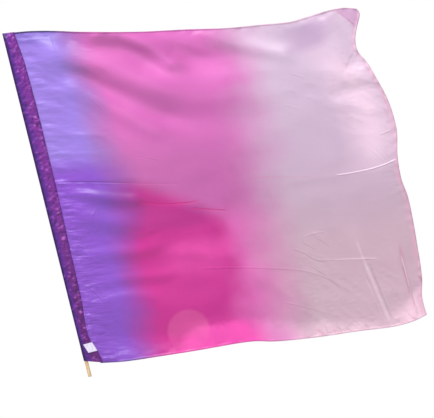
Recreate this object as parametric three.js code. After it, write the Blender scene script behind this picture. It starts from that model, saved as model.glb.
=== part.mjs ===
// A hand-held worship flag: a dyed silk panel with rolled hems, sewn between the lips of a pole sleeve that is
// folded round a wooden rod, and a blank care label caught in the sleeve's seam above its mouth.
// The rod leans to the left and the silk flies out to the right of it, in the soft folds of a slow swing.
// Millimetres, +Z up, X across the flag towards its free edge, -Y towards the viewer.
// The origin is on the rod's axis, at the grip.
import * as THREE from "three";

// Driving dimensions
const rodLean = THREE.MathUtils.degToRad(14);
const rodRadius = 4;
const rodHead = 720; // the rod's two ends, along its axis from the grip
const rodFoot = -58;
const rodChamfer = 0.8;
const cloth = 1; // thickness of the silk, the sleeve and the label
const clearance = 0.3; // between pieces that touch
const seamTuck = 6; // the silk's edge lies this far inside the sleeve
const seamMargin = 4; // the hems start this far out from the seam
const hemStep = 1.7; // the rolled hem is two steps wide
const hemThickness = { rim: 1.5, crown: 2.3 };
const labelLength = 21; // along the seam
const labelWidth = 20;
const labelFoot = -5; // along the rod from the grip
const labelLift = 1.6; // the label's free edge curls up by this much

// The seam between sleeve and silk, from the mouth to the closed head: along the rod from the grip, and across from
// the rod's axis. The sleeve flares at its mouth, below the grip.
const seamRows = [
  { along: -34, across: 36.5 },
  { along: -2, across: 29.5 },
  { along: 26, across: 19.5 },
  { along: 64, across: 18.5 },
  { along: 110, across: 22.5 },
  { along: 230, across: 25.5 },
  { along: 368, across: 29 },
  { along: 484, across: 30 },
  { along: 580, across: 30 },
  { along: 670, across: 27.5 },
  { along: 706, across: 24 },
  { along: 736, across: 21.5 },
];
const sleeveMouth = -20; // where the sleeve's fold starts and ends, along the rod
const sleeveHead = 739;

// The silk's lower edge, from the seam to the free corner
const footRows = [
  { x: 91, z: -22 },
  { x: 179, z: -9 },
  { x: 261, z: 4 },
  { x: 344, z: 18.5 },
  { x: 385, z: 23.5 },
  { x: 430, z: 23 },
  { x: 532, z: 33 },
  { x: 611, z: 45 },
  { x: 703, z: 58 },
  { x: 743, z: 70 },
];
// Its upper edge, from the seam to the free corner, which is pulled up
const headRows = [
  { x: -120, z: 721.5 },
  { x: -60, z: 721.5 },
  { x: 0, z: 719 },
  { x: 110, z: 719 },
  { x: 230, z: 725.5 },
  { x: 311, z: 728 },
  { x: 396, z: 736 },
  { x: 463, z: 742 },
  { x: 500, z: 752 },
  { x: 550, z: 767 },
  { x: 585, z: 773 },
];
// Its free edge, from the lower corner to the upper one. It bulges below a nick under the pulled corner.
const lowerCorner = { x: 770, z: 84 };
const flyRows = [
  { x: 760, z: 124 },
  { x: 760, z: 165 },
  { x: 749, z: 241 },
  { x: 728, z: 347 },
  { x: 713, z: 388 },
  { x: 704, z: 440 },
  { x: 702, z: 500 },
  { x: 683, z: 565 },
  { x: 657, z: 614 },
  { x: 636, z: 650 },
  { x: 615, z: 676 },
  { x: 610, z: 704 },
  { x: 615, z: 734 },
  { x: 619.5, z: 752 },
  { x: 619.5, z: 763 },
];
const upperCorner = { x: 613, z: 771.5 };

// Folds: soft ridges, and troughs where rise is negative. Each runs from one point to the other, bowed to its left,
// with rise towards the viewer and reach to each side of its crest.
const folds = [
  { name: "belly", x: -60, z: 420, toX: 700, toZ: 450, bow: -24, reach: 180, rise: 19 },
  { name: "head ridge", x: 30, z: 715, toX: 182, toZ: 657, bow: 12, reach: 23, rise: 22 },
  { name: "broad ridge at the head", x: 170, z: 704, toX: 290, toZ: 696, bow: 0, reach: 24, rise: 8 },
  { name: "long diagonal ridge", x: -80, z: 666, toX: 126, toZ: 604, bow: 16, reach: 34, rise: 20 },
  { name: "its level end", x: 225, z: 586, toX: 320, toZ: 588, bow: 0, reach: 46, rise: 18 },
  { name: "trough between the two", x: -20, z: 628, toX: 186, toZ: 536, bow: 0, reach: 24, rise: -9 },
  { name: "short diagonal ridge", x: -12, z: 587, toX: 146, toZ: 508, bow: 2, reach: 24, rise: 9 },
  { name: "pale streak", x: 292, z: 714, toX: 440, toZ: 672, bow: -3, reach: 15, rise: 6 },
  { name: "pale ridge below it", x: 420, z: 634, toX: 560, toZ: 620, bow: 0, reach: 30, rise: 3 },
  { name: "head edge ridge", x: 440, z: 728, toX: 560, toZ: 734, bow: 2, reach: 20, rise: 6 },
  { name: "lobe at the upper corner", x: 552, z: 712, toX: 566, toZ: 640, bow: 6, reach: 24, rise: 6 },
  { name: "bulge", x: 620, z: 622, toX: 652, toZ: 618, bow: 3, reach: 25, rise: 8 },
  { name: "rib under the bulge", x: 571, z: 570, toX: 640, toZ: 560, bow: 4, reach: 13, rise: 3 },
  { name: "fold below the crease", x: -64, z: 356, toX: 104, toZ: 340, bow: 2, reach: 14, rise: 7 },
  { name: "next fold down", x: -36, z: 305, toX: 130, toZ: 283, bow: 4, reach: 24, rise: 9 },
  { name: "middle fold", x: 20, z: 212, toX: 152, toZ: 238, bow: -3, reach: 20, rise: 6.5 },
  { name: "its free end", x: 232, z: 218, toX: 318, toZ: 214, bow: 2, reach: 19, rise: 3 },
  { name: "lower ridge", x: 24, z: 152, toX: 176, toZ: 172, bow: 3, reach: 14, rise: 4.5 },
  { name: "lower bulge", x: 36, z: 106, toX: 160, toZ: 110, bow: 0, reach: 34, rise: 6 },
  { name: "hollow over the foot, near the pole", x: 36, z: 31, toX: 180, toZ: 30, bow: 0, reach: 28, rise: -6 },
  { name: "hollow over the foot, middle", x: 270, z: 72, toX: 500, toZ: 62, bow: 6, reach: 22, rise: -2.2 },
  { name: "forward foot edge", x: 110, z: -28, toX: 770, toZ: 74, bow: -14, reach: 30, rise: 8 },
  { name: "pale diagonal", x: 405, z: 168, toX: 480, toZ: 106, bow: 6, reach: 22, rise: 6 },
  { name: "sharp pleat", x: 615, z: 246, toX: 692, toZ: 62, bow: 0, reach: 14, rise: 3 },
  { name: "outer pleat", x: 706, z: 204, toX: 742, toZ: 98, bow: 0, reach: 13, rise: 3 },
];
// The pulled corner turns away from the viewer beyond this line
const cornerTurn = { x: 552, z: 770, toX: 612, toZ: 724, bow: 4, slope: 0.6, softness: 5 };
// The slow swing: a wave that grows towards the free edge
const swing = { depth: 26, waves: 1.15, lag: 0.12, flatFor: 10, rampFor: 90 };
const foldRampFor = 48; // the folds reach closer to the seam than the belly and the swing do

const panelGrid = { columns: 44, rows: 54 };
const sleeveGrid = { columns: 14, lipColumns: 2, rows: 24 };
const labelGrid = { columns: 6, rows: 3 };
const rodSides = 24;

// A point given along the rod, across it to the right and out towards the viewer
function atRod(along, across, out) {
  return new THREE.Vector3(
    across * Math.cos(rodLean) - along * Math.sin(rodLean),
    -out,
    along * Math.cos(rodLean) + across * Math.sin(rodLean),
  );
}

function smoothCurve(points) {
  return new THREE.CatmullRomCurve3(points, false, "centripetal");
}

function rowsToPoints(rows) {
  return rows.map(({ x, z }) => new THREE.Vector3(x, 0, z));
}

// A sheet of cloth as a box of columns by rows, bent onto a surface. Each corner of the box goes to the surface's
// point at its two shares, and half the thickness out along the surface's normal.
function bentSheet({ columns, rows, columnShare, rowShare, thickness, surface }) {
  const geometry = new THREE.BoxGeometry(1, 1, 1, columns, 1, rows);
  const corner = geometry.getAttribute("position");
  const tiny = 1e-3;
  const slope = (u, v, du, dv) =>
    surface(Math.min(u + du, 1), Math.min(v + dv, 1)).sub(surface(Math.max(u - du, 0), Math.max(v - dv, 0)));
  for (let i = 0; i < corner.count; i += 1) {
    const column = Math.round((corner.getX(i) + 0.5) * columns);
    const row = Math.round((corner.getZ(i) + 0.5) * rows);
    const u = columnShare(column);
    const v = rowShare(row);
    const normal = slope(u, v, 0, tiny).cross(slope(u, v, tiny, 0)).normalize();
    const out = (Math.sign(corner.getY(i)) * thickness(column, row)) / 2;
    const place = surface(u, v).addScaledVector(normal, out);
    corner.setXYZ(i, place.x, place.y, place.z);
  }
  splitAlongFolds(geometry);
  geometry.computeVertexNormals();
  return geometry;
}

// Both faces of a sheet are split along the same diagonals, which run down to the right as most of the folds do.
// The face away from the viewer is split that way already.
function splitAlongFolds(geometry) {
  const corners = geometry.getIndex();
  const [, , , viewerFace] = geometry.groups; // the box's -Y side
  for (let i = viewerFace.start; i < viewerFace.start + viewerFace.count; i += 6) {
    const [a, b, d, , c] = corners.array.slice(i, i + 5);
    corners.array.set([a, b, c, a, c, d], i);
  }
}

const seamCurve = smoothCurve(seamRows.map(({ along, across }) => atRod(along, across, 0)));

// The sleeve's section: a strip that leaves the seam as a straight lip, wraps round the rod and comes back.
// Lips lie a sheet's thickness and two clearances apart, so that the silk fits between them.
const lipOut = cloth / 2 + clearance + cloth / 2;
const wrapRadius = rodRadius + clearance + cloth / 2;
const closedFrom = rodHead + 4; // above the rod's head the sleeve flattens and is sewn shut
const headSteps = [8, 8];
const lipShare = (2 * sleeveGrid.lipColumns) / sleeveGrid.columns;

function wrapRadiusAt(along) {
  const closed = THREE.MathUtils.smoothstep(along, closedFrom, sleeveHead);
  return THREE.MathUtils.lerp(wrapRadius, lipOut, closed);
}

// Share u goes from the front lip round the rod to the back lip, share v from the mouth to the head
function sleeveSurface(u, v) {
  const seam = seamCurve.getPointAt(v);
  const seamAcross = seam.x * Math.cos(rodLean) + seam.z * Math.sin(rodLean);
  const seamAlong = seam.z * Math.cos(rodLean) - seam.x * Math.sin(rodLean);
  const foldAlong = THREE.MathUtils.lerp(sleeveMouth, sleeveHead, v);
  const radius = wrapRadiusAt(foldAlong);
  const centre = radius - wrapRadius; // the fold's outer line stays straight
  const toLip = Math.hypot(seamAcross - centre, lipOut);
  const tangent = Math.atan2(lipOut, seamAcross - centre) + Math.acos(radius / toLip);
  const side = u < 0.5 ? 1 : -1;
  const fromLip = 1 - Math.abs(2 * u - 1);
  const lipPart = Math.min(fromLip / lipShare, 1);
  const angle = THREE.MathUtils.lerp(tangent, Math.PI, Math.max(fromLip - lipShare, 0) / (1 - lipShare));
  const across = THREE.MathUtils.lerp(seamAcross, centre + radius * Math.cos(angle), lipPart);
  const out = THREE.MathUtils.lerp(lipOut, radius * Math.sin(angle), lipPart);
  const acrossShare = (across - centre + radius) / (seamAcross - centre + radius);
  return atRod(THREE.MathUtils.lerp(foldAlong, seamAlong, acrossShare), across, side * out);
}

// The silk's four edges. The seam side is tucked into the sleeve.
const tuckedSeam = smoothCurve(seamRows.map(({ along, across }) => atRod(along, across - seamTuck, 0)));
const tuckedFoot = tuckedSeam.getPointAt(0);
const tuckedHead = tuckedSeam.getPointAt(1);
const [lowerFree, upperFree] = rowsToPoints([lowerCorner, upperCorner]);
const footCurve = smoothCurve([tuckedFoot, ...rowsToPoints(footRows), lowerFree]);
const headCurve = smoothCurve([tuckedHead, ...rowsToPoints(headRows), upperFree]);
const flyCurve = smoothCurve([lowerFree, ...rowsToPoints(flyRows), upperFree]);

// Distance off a bowed line to its left, and distance past its ends
function besideLine(x, z, line) {
  const length = Math.hypot(line.toX - line.x, line.toZ - line.z);
  const alongX = (line.toX - line.x) / length;
  const alongZ = (line.toZ - line.z) / length;
  const along = (x - line.x) * alongX + (z - line.z) * alongZ;
  const share = THREE.MathUtils.clamp(along / length, 0, 1);
  const crest = line.bow * 4 * share * (1 - share);
  return { off: (z - line.z) * alongX - (x - line.x) * alongZ - crest, past: along - share * length };
}

// How far one fold stands towards the viewer: a bell-shaped ridge, whose ends fade out over twice its reach
function foldDepth(x, z, fold) {
  const { off, past } = besideLine(x, z, fold);
  return fold.rise * Math.exp(-(off ** 2 + (past / 2) ** 2) / fold.reach ** 2);
}

// The silk: the patch that blends its four edges and takes away its corners, with folds and swing as depth
function panelSurface(u, v) {
  const seam = tuckedSeam.getPointAt(v);
  const fly = flyCurve.getPointAt(v);
  const foot = footCurve.getPointAt(u);
  const head = headCurve.getPointAt(u);
  const place = new THREE.Vector3();
  for (const [point, share] of [
    [foot, 1 - v],
    [head, v],
    [seam, 1 - u],
    [fly, u],
    [tuckedFoot, -(1 - u) * (1 - v)],
    [lowerFree, -u * (1 - v)],
    [tuckedHead, -(1 - u) * v],
    [upperFree, -u * v],
  ]) {
    place.addScaledVector(point, share);
  }
  const fromSeam = place.distanceTo(seam);
  const free = THREE.MathUtils.smoothstep(fromSeam, swing.flatFor, swing.flatFor + swing.rampFor);
  const foldFree = THREE.MathUtils.smoothstep(fromSeam, swing.flatFor, swing.flatFor + foldRampFor);
  const wave = swing.depth * u * Math.sin(2 * Math.PI * (swing.waves * u + swing.lag * v));
  const beyond = besideLine(place.x, place.z, cornerTurn).off;
  const turned = (cornerTurn.slope * (beyond + Math.hypot(beyond, cornerTurn.softness))) / 2;
  const [belly, ...smallFolds] = folds;
  const relief = smallFolds.reduce((sum, fold) => sum + foldDepth(place.x, place.z, fold), 0);
  place.y = -free * (foldDepth(place.x, place.z, belly) - turned + wave) - foldFree * relief;
  return place;
}

// The share at a row or column: given steps at either end, and even steps between
function steppedShare(index, count, length, startSteps, endSteps) {
  const total = (steps) => steps.reduce((sum, step) => sum + step, 0) / length;
  const start = startSteps.length;
  const end = endSteps.length;
  if (index <= start) return total(startSteps.slice(0, index));
  if (index >= count - end) return 1 - total(endSteps.slice(0, count - index));
  const even = (index - start) / (count - end - start);
  return THREE.MathUtils.lerp(total(startSteps), 1 - total(endSteps), even);
}

const hemSteps = [hemStep, hemStep];
const seamSteps = [seamTuck + seamMargin];
const panelWidth = footCurve.getLength();
const panelHeight = tuckedSeam.getLength();

// Thicker along the three hemmed edges, and single between the sleeve's lips
function panelThickness(column, row) {
  const fromEdge = Math.min(row, panelGrid.rows - row, panelGrid.columns - column);
  const thicknesses = [hemThickness.rim, hemThickness.crown];
  return column <= seamSteps.length || fromEdge >= thicknesses.length ? cloth : thicknesses[fromEdge];
}

// The seam's distance from the rod's axis, between two of its rows
function acrossOfSeam(along) {
  const after = seamRows.findIndex((row) => row.along > along);
  const [low, high] = [seamRows[after - 1], seamRows[after]];
  return THREE.MathUtils.mapLinear(along, low.along, high.along, low.across, high.across);
}

// The label lies on the sleeve's front lip, which rises from the seam to the rod. Its edge at the seam is caught
// there, and the other edge curls up.
function labelSurface(u, v) {
  const along = labelFoot + v * labelLength;
  const seamAcross = acrossOfSeam(along);
  const fromSeam = (1 - u) * labelWidth;
  const lipRise = ((wrapRadius - lipOut) * fromSeam) / seamAcross;
  const out = lipOut + lipRise + cloth + clearance + labelLift * (1 - u) ** 2;
  return atRod(along, seamAcross - fromSeam, out);
}

function rodGeometry() {
  const length = rodHead - rodFoot;
  const profile = [
    new THREE.Vector2(0, 0),
    new THREE.Vector2(rodRadius - rodChamfer, 0),
    new THREE.Vector2(rodRadius, rodChamfer),
    new THREE.Vector2(rodRadius, length - rodChamfer),
    new THREE.Vector2(rodRadius - rodChamfer, length),
    new THREE.Vector2(0, length),
  ];
  return new THREE.LatheGeometry(profile, rodSides);
}

function makePiece(name, geometry, color, roughness) {
  const material = new THREE.MeshStandardMaterial({ color, roughness, metalness: 0 });
  const mesh = new THREE.Mesh(geometry, material);
  mesh.name = name;
  return mesh;
}

const panel = makePiece(
  "silk_panel",
  bentSheet({
    ...panelGrid,
    columnShare: (column) => steppedShare(column, panelGrid.columns, panelWidth, seamSteps, hemSteps),
    rowShare: (row) => steppedShare(row, panelGrid.rows, panelHeight, hemSteps, hemSteps),
    thickness: panelThickness,
    surface: panelSurface,
  }),
  "#cf6fb8",
  0.5,
);

const sleeve = makePiece(
  "pole_sleeve",
  bentSheet({
    ...sleeveGrid,
    columnShare: (column) => column / sleeveGrid.columns,
    rowShare: (row) => steppedShare(row, sleeveGrid.rows, sleeveHead - sleeveMouth, [], headSteps),
    thickness: () => cloth,
    surface: sleeveSurface,
  }),
  "#74318f",
  0.45,
);

const label = makePiece(
  "care_label",
  bentSheet({
    ...labelGrid,
    columnShare: (column) => column / labelGrid.columns,
    rowShare: (row) => row / labelGrid.rows,
    thickness: () => cloth,
    surface: labelSurface,
  }),
  "#f1edf3",
  0.6,
);

const rod = makePiece("rod", rodGeometry(), "#d9b98a", 0.55);
rod.position.copy(atRod(rodFoot, 0, 0));
rod.rotation.set(Math.PI / 2, -rodLean, 0, "YXZ"); // stood up, then leant to the left

const flag = new THREE.Group();
flag.add(panel, sleeve, label, rod);

export default flag;
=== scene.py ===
# A worship flag held in the air: dyed silk with rolled hems, a crinkled satin sleeve on a leaning rod, and
# a blank label. Metres, +Z up, the viewer towards -Y. The origin is on the rod's axis at the grip.
import math

import bpy
import numpy as np
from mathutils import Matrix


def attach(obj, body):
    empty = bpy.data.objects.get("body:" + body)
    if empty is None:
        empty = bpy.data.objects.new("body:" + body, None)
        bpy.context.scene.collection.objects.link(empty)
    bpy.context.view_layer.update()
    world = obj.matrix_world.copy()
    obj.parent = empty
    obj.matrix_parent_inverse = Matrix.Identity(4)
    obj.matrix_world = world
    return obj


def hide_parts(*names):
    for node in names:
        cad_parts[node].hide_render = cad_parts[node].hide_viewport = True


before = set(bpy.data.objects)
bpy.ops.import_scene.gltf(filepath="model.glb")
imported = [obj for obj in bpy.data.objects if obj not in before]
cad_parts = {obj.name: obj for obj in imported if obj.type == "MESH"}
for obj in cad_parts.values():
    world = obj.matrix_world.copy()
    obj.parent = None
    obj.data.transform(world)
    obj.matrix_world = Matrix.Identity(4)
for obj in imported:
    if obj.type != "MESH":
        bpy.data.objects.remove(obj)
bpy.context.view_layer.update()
print("frame loaded:", sorted(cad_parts))


# Maths on whole arrays

def metres(rows, lastIsLength=True):
    # Tables are written in millimetres. A last column that is a strength stays as it is.
    table = np.array(rows, float)
    lengths = table.shape[1] if lastIsLength else table.shape[1] - 1
    table[:, :lengths] /= 1000
    return table


def smoothStep(low, high, x):
    # 0 below low, 1 above high, and 3t^2 - 2t^3 between
    t = np.clip((x - low) / (high - low), 0, 1)
    return t * t * (3 - 2 * t)


def smoothCurve(points, shares, spanSteps=40):
    # A curve through the points: every span is a cubic whose end slopes follow both neighbours, spaced by
    # the square root of their distance. The shares are parts of the curve's length.
    p = np.asarray(points, float)
    p = np.vstack([2 * p[0] - p[1], p, 2 * p[-1] - p[-2]])
    gap = np.sqrt(np.linalg.norm(np.diff(p, axis=0), axis=1))[:, None]
    before, here, after = gap[:-2], gap[1:-1], gap[2:]
    a, b, c, d = p[:-3], p[1:-2], p[2:-1], p[3:]
    startSlope = ((b - a) / before - (c - a) / (before + here) + (c - b) / here) * here
    endSlope = ((c - b) / here - (d - b) / (here + after) + (d - c) / after) * here
    t = np.linspace(0, 1, spanSteps)[None, :, None]
    b, c, startSlope, endSlope = (q[:, None, :] for q in (b, c, startSlope, endSlope))
    line = b * (1 + 2 * t) * (1 - t) ** 2 + startSlope * t * (1 - t) ** 2
    line = line + c * t * t * (3 - 2 * t) + endSlope * t * t * (t - 1)
    line = line.reshape(-1, p.shape[1])
    length = np.concatenate([[0], np.cumsum(np.linalg.norm(np.diff(line, axis=0), axis=1))])
    wanted = np.asarray(shares) * length[-1]
    return np.stack([np.interp(wanted, length, line[:, k]) for k in range(p.shape[1])], axis=-1)


def curveLength(points, steps=400):
    line = smoothCurve(points, np.linspace(0, 1, steps))
    return float(np.linalg.norm(np.diff(line, axis=0), axis=1).sum())


def drift(x, z, wavelength, seed, waves=6):
    # Smooth unevenness between about -1 and 1: a sum of slanting sine waves of nearly the same wavelength
    rng = np.random.default_rng(seed)
    angles, phases = rng.uniform(0, 2 * math.pi, waves), rng.uniform(0, 2 * math.pi, waves)
    stretches = rng.uniform(0.7, 1.5, waves)
    total = np.zeros(np.broadcast(x, z).shape)
    for angle, phase, stretch in zip(angles, phases, stretches):
        turn = 2 * math.pi / (wavelength * stretch)
        total += np.sin(turn * (x * math.cos(angle) + z * math.sin(angle)) + phase)
    return 2 * total / waves


# Objects and meshes

def addObject(name, data, place=(0, 0, 0), turn=(0, 0, 0)):
    made = bpy.data.objects.new(name, data)
    made.location, made.rotation_euler = place, turn
    bpy.context.scene.collection.objects.link(made)
    return made


def makeMesh(name, points, groups, uv=None, values=None):
    # Each group of faces is an array with a row of point numbers for every face
    mesh = bpy.data.meshes.new(name)
    faces = [face for group in groups for face in group.tolist()]
    mesh.from_pydata(points.reshape(-1, 3).tolist(), [], faces)
    if uv is not None:
        corners = np.concatenate([group.ravel() for group in groups])
        layer = mesh.uv_layers.new(name="cloth")
        layer.data.foreach_set("uv", uv.reshape(-1, 2)[corners].ravel())
    for key, value in (values or {}).items():
        mesh.attributes.new(key, "FLOAT", "POINT").data.foreach_set("value", np.ravel(value))
    mesh.shade_smooth()
    return addObject(name, mesh)


def gridFaces(rows, columns, start=0, flip=False):
    # Four-sided faces of a grid of points, counted along the rows
    i, j = np.meshgrid(np.arange(rows - 1), np.arange(columns - 1), indexing="ij")
    a = (start + i * columns + j).ravel()
    quads = np.stack([a, a + 1, a + columns + 1, a + columns], axis=1)
    return quads[:, ::-1] if flip else quads


def tubeFaces(rings, sides):
    # Four-sided faces round a tube, between rings of points
    start = np.arange(rings - 1)[:, None] * sides
    near, far = start + np.arange(sides), start + (np.arange(sides) + 1) % sides
    return np.stack([near, far, far + sides, near + sides], axis=-1).reshape(-1, 4)


def surfaceNormal(middle):
    # Cross product of the slopes up the rows and along the columns
    up = np.gradient(middle, axis=0)
    along = np.gradient(middle, axis=1)
    normal = np.cross(up, along)
    return normal / np.linalg.norm(normal, axis=-1, keepdims=True)


def clothShell(name, middle, thickness, uv, values=None):
    # A closed sheet: the middle surface moved by half the thickness to either side along its normal, and
    # joined round its rim. The first copy faces the viewer.
    rows, columns = middle.shape[:2]
    half = surfaceNormal(middle) * np.asarray(thickness)[..., None] / 2
    count = rows * columns
    index = np.arange(count).reshape(rows, columns)
    rims = []
    for edge, turned in ((index[0], True), (index[-1], False), (index[:, 0], False), (index[:, -1], True)):
        rim = np.stack([edge[:-1], edge[1:], edge[1:] + count, edge[:-1] + count], axis=1)
        rims.append(rim[:, ::-1] if turned else rim)
    faces = [gridFaces(rows, columns), gridFaces(rows, columns, count, flip=True), *rims]
    points = np.concatenate([(middle - half).reshape(-1, 3), (middle + half).reshape(-1, 3)])
    doubled = {key: np.tile(np.ravel(value), 2) for key, value in (values or {}).items()}
    return makeMesh(name, points, faces, np.tile(uv.reshape(-1, 2), (2, 1)), doubled)


# The rod, whose lean sets the frame that the sleeve and the silk are drawn in

rodShape = {
    "lean": math.radians(14),
    "radius": 0.004,
    "head": 0.720,
    "foot": -0.058,
    "chamfer": 0.0008,
    "sides": 64,
    "rings": 60,
    "roundRings": 6,
}


def atRod(along, across, out):
    # A point given along the rod, across it to the right and out to the viewer, turned by the rod's lean
    lean = rodShape["lean"]
    x = across * math.cos(lean) - along * math.sin(lean)
    z = along * math.cos(lean) + across * math.sin(lean)
    return np.stack(np.broadcast_arrays(x, -out, z), axis=-1)


def makeRod(shape):
    # Rings of points along the axis, with a quarter round and a fan of triangles at either end
    turn = np.linspace(0, math.pi / 2, shape["roundRings"])
    inset = shape["chamfer"] * (1 - np.cos(turn))
    rim = shape["radius"] - shape["chamfer"] + shape["chamfer"] * np.sin(turn)
    span = np.linspace(shape["foot"], shape["head"], shape["rings"])[1:-1]
    along = np.concatenate([shape["foot"] + inset, span, shape["head"] - inset[::-1]])
    radius = np.concatenate([rim, np.full(span.size, shape["radius"]), rim[::-1]])
    angle = np.linspace(0, 2 * math.pi, shape["sides"], endpoint=False)
    points = atRod(along[:, None], radius[:, None] * np.cos(angle), radius[:, None] * np.sin(angle))
    ends = atRod(np.array([shape["foot"], shape["head"]]), 0.0, 0.0)
    rows, columns = points.shape[:2]
    foot, head, lastRing = rows * columns, rows * columns + 1, (rows - 1) * columns
    ring = np.arange(columns)
    following = (ring + 1) % columns
    caps = np.concatenate([
        np.stack([np.full(columns, foot), ring, following], axis=1),
        np.stack([np.full(columns, head), following + lastRing, ring + lastRing], axis=1),
    ])
    outwards = tubeFaces(rows, columns)[:, [0, 3, 2, 1]]
    return makeMesh("rod_wood", np.vstack([points.reshape(-1, 3), ends]), [outwards, caps])


rodPiece = makeRod(rodShape)
print("rod made")

# The seam between sleeve and silk: along the rod from the grip, and across from its axis
seamRows = metres([
    (-34, 36.5), (-2, 29.5), (26, 19.5), (64, 18.5), (110, 22.5), (230, 25.5),
    (368, 29), (484, 30), (580, 30), (670, 27.5), (706, 24), (736, 21.5),
])

sleeveShape = {
    "mouth": -0.020,
    "head": 0.739,
    "closedFrom": 0.724,
    "cutWidth": 0.074,
    "wall": 0.0006,
    "wrapRadius": 0.0048,
    "lipOut": 0.0013,
    "rows": 380,
    "lipColumns": 18,
    "wrapColumns": 34,
    "crinkledFrom": (0.1, 0.5),
    "crinkledTo": (1.0, 0.82),
}
# Pinches up the sleeve, at steps from, to and by, each shifted by up to the jitter. Lowest and highest are
# slant, width, height, and place and reach across. The swells are height, wavelength and seed.
pinchShape = {
    "seed": 21,
    "steps": (-0.02, 0.735, 0.0085),
    "jitter": 0.004,
    "lowest": (-0.026, 0.0009, 0.0002, 0.3, 0.15),
    "highest": (0.012, 0.0017, 0.0015, 0.9, 0.45),
    "faceShift": 3,
    "swells": ((0.0006, 0.017, 4), (0.0004, 0.009, 5)),
    "swellWidth": 0.03,
}


def sleeveCrinkle(along, place, shape):
    # Satin is drawn in at the stitches, so it crinkles across: narrow ridges, each with its own slant,
    # length and height. The face shift keeps the two faces' places apart.
    rng = np.random.default_rng(shape["seed"])
    wide = place * shape["swellWidth"]
    total = sum(height * drift(along, wide, length, seed) for height, length, seed in shape["swells"])
    steps = np.arange(*shape["steps"])
    for centre in steps + rng.uniform(-shape["jitter"], shape["jitter"], steps.size):
        slant, width, height, middle, reach = rng.uniform(shape["lowest"], shape["highest"])
        for face in (-shape["faceShift"], shape["faceShift"]):
            aside = place - face - middle
            off = along - centre - slant * aside
            total = total + height * np.exp(-(off / width) ** 2 - (aside / reach) ** 2)
    return total


def makeSleeve(shape):
    # The section is a strip: a straight lip from the seam to where it touches the wrap's circle, round the
    # rod, and straight back. At the head it closes flat.
    up = np.linspace(0, 1, shape["rows"])[:, None]
    seam = smoothCurve(seamRows, up[:, 0])
    seamAlong, seamAcross = seam[:, :1], seam[:, 1:]
    foldAlong = shape["mouth"] + (shape["head"] - shape["mouth"]) * up
    closed = smoothStep(shape["closedFrom"], shape["head"], foldAlong)
    radius = shape["wrapRadius"] + (shape["lipOut"] - shape["wrapRadius"]) * closed
    centre = radius - shape["wrapRadius"]
    toLip = np.hypot(seamAcross - centre, shape["lipOut"])
    tangent = np.arctan2(shape["lipOut"], seamAcross - centre) + np.arccos(radius / toLip)
    lip = np.linspace(0, 1, shape["lipColumns"] + 1)[:-1]
    wrap = np.linspace(0, 1, shape["wrapColumns"] // 2 + 1)
    lipPart = np.concatenate([lip, np.ones(wrap.size)])[None, :]
    angle = tangent + (math.pi - tangent) * np.concatenate([np.zeros(lip.size), wrap])[None, :]
    across = seamAcross + (centre + radius * np.cos(angle) - seamAcross) * lipPart
    out = shape["lipOut"] + (radius * np.sin(angle) - shape["lipOut"]) * lipPart
    fromRod = (across - centre + radius) / (seamAcross - centre + radius)
    along = foldAlong + (seamAlong - foldAlong) * fromRod
    across, along, fromRod = (np.hstack([half, half[:, -2::-1]]) for half in (across, along, fromRod))
    out = np.hstack([out, -out[:, -2::-1]])
    side = np.sign(out)
    crinkle = sleeveCrinkle(along, fromRod + side * pinchShape["faceShift"], pinchShape)
    room = smoothStep(*shape["crinkledFrom"], fromRod) * smoothStep(*shape["crinkledTo"], fromRod)
    middle = atRod(along, across, out + side * crinkle * room)
    uvAlong = fromRod * 0.45 + np.where(side < 0, 0.5, 0.0)
    uv = np.stack([uvAlong, np.broadcast_to(up, along.shape)], axis=-1)[:, ::-1]
    wall = np.full(along.shape, shape["wall"])
    values = {"fromRod": fromRod[:, ::-1], "crinkle": (crinkle * 1000)[:, ::-1]}
    return clothShell("sleeve_satin", middle[:, ::-1], wall, uv, values)


def sleeveFace(fromSeam, seamAcross):
    # How far the sleeve's straight lip stands out from the rod's axis, at a distance from the seam
    rise = (sleeveShape["wrapRadius"] - sleeveShape["lipOut"]) * fromSeam / seamAcross
    return sleeveShape["lipOut"] + rise


sleevePiece = makeSleeve(sleeveShape)
print("sleeve made")

# The silk: its four edges, and its folds

silkShape = {
    "tuck": 0.006,
    "thickness": 0.0005,
    "hemWidth": 0.0034,
    "hemDiameter": 0.0022,
    "hemColumns": [0, 0.0005, 0.0011, 0.0018, 0.0025, 0.0031, 0.0036],
    "hemFrom": (0.008, 0.014),
    "hemUnevenness": {"share": 0.12, "wavelength": 0.02, "seed": 15},
    "columns": 158,
    "rows": 262,
    "finerFrom": (0.58, 0.72),
    "finerBy": 1.4,
    "swing": {"depth": 0.026, "waves": 1.15, "lag": 0.12, "from": (0.010, 0.100)},
    "foldsFrom": (0.010, 0.058),
    "wobble": {"depth": 0.004, "wavelength": 0.12, "seeds": (1, 2)},
    "creaseSharpness": 0.35,
    "creasesFrom": (0.007, 0.014),
    "ripple": {"depth": 0.0014, "reach": 0.009, "wavelength": 0.018, "seed": 14},
    "cornerTurn": {"line": (0.552, 0.770, 0.612, 0.724, 0.004), "slope": 0.60, "softness": 0.005},
    "lowerCorner": (0.770, 0.084),
    "upperCorner": (0.613, 0.7715),
}
footEdge = metres([
    (91, -22), (179, -9), (261, 4), (344, 18.5), (385, 23.5), (430, 23),
    (532, 33), (611, 45), (703, 58), (743, 70),
])
headEdge = metres([
    (-120, 721.5), (-60, 721.5), (0, 719), (110, 719), (230, 725.5), (311, 728),
    (396, 736), (463, 742), (500, 752), (550, 767), (585, 773),
])
flyEdge = metres([
    (760, 124), (760, 165), (749, 241), (728, 347), (713, 388), (704, 440),
    (702, 500), (683, 565), (657, 614), (636, 650), (615, 676), (610, 704),
    (615, 734), (619.5, 752), (619.5, 763),
])
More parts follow.
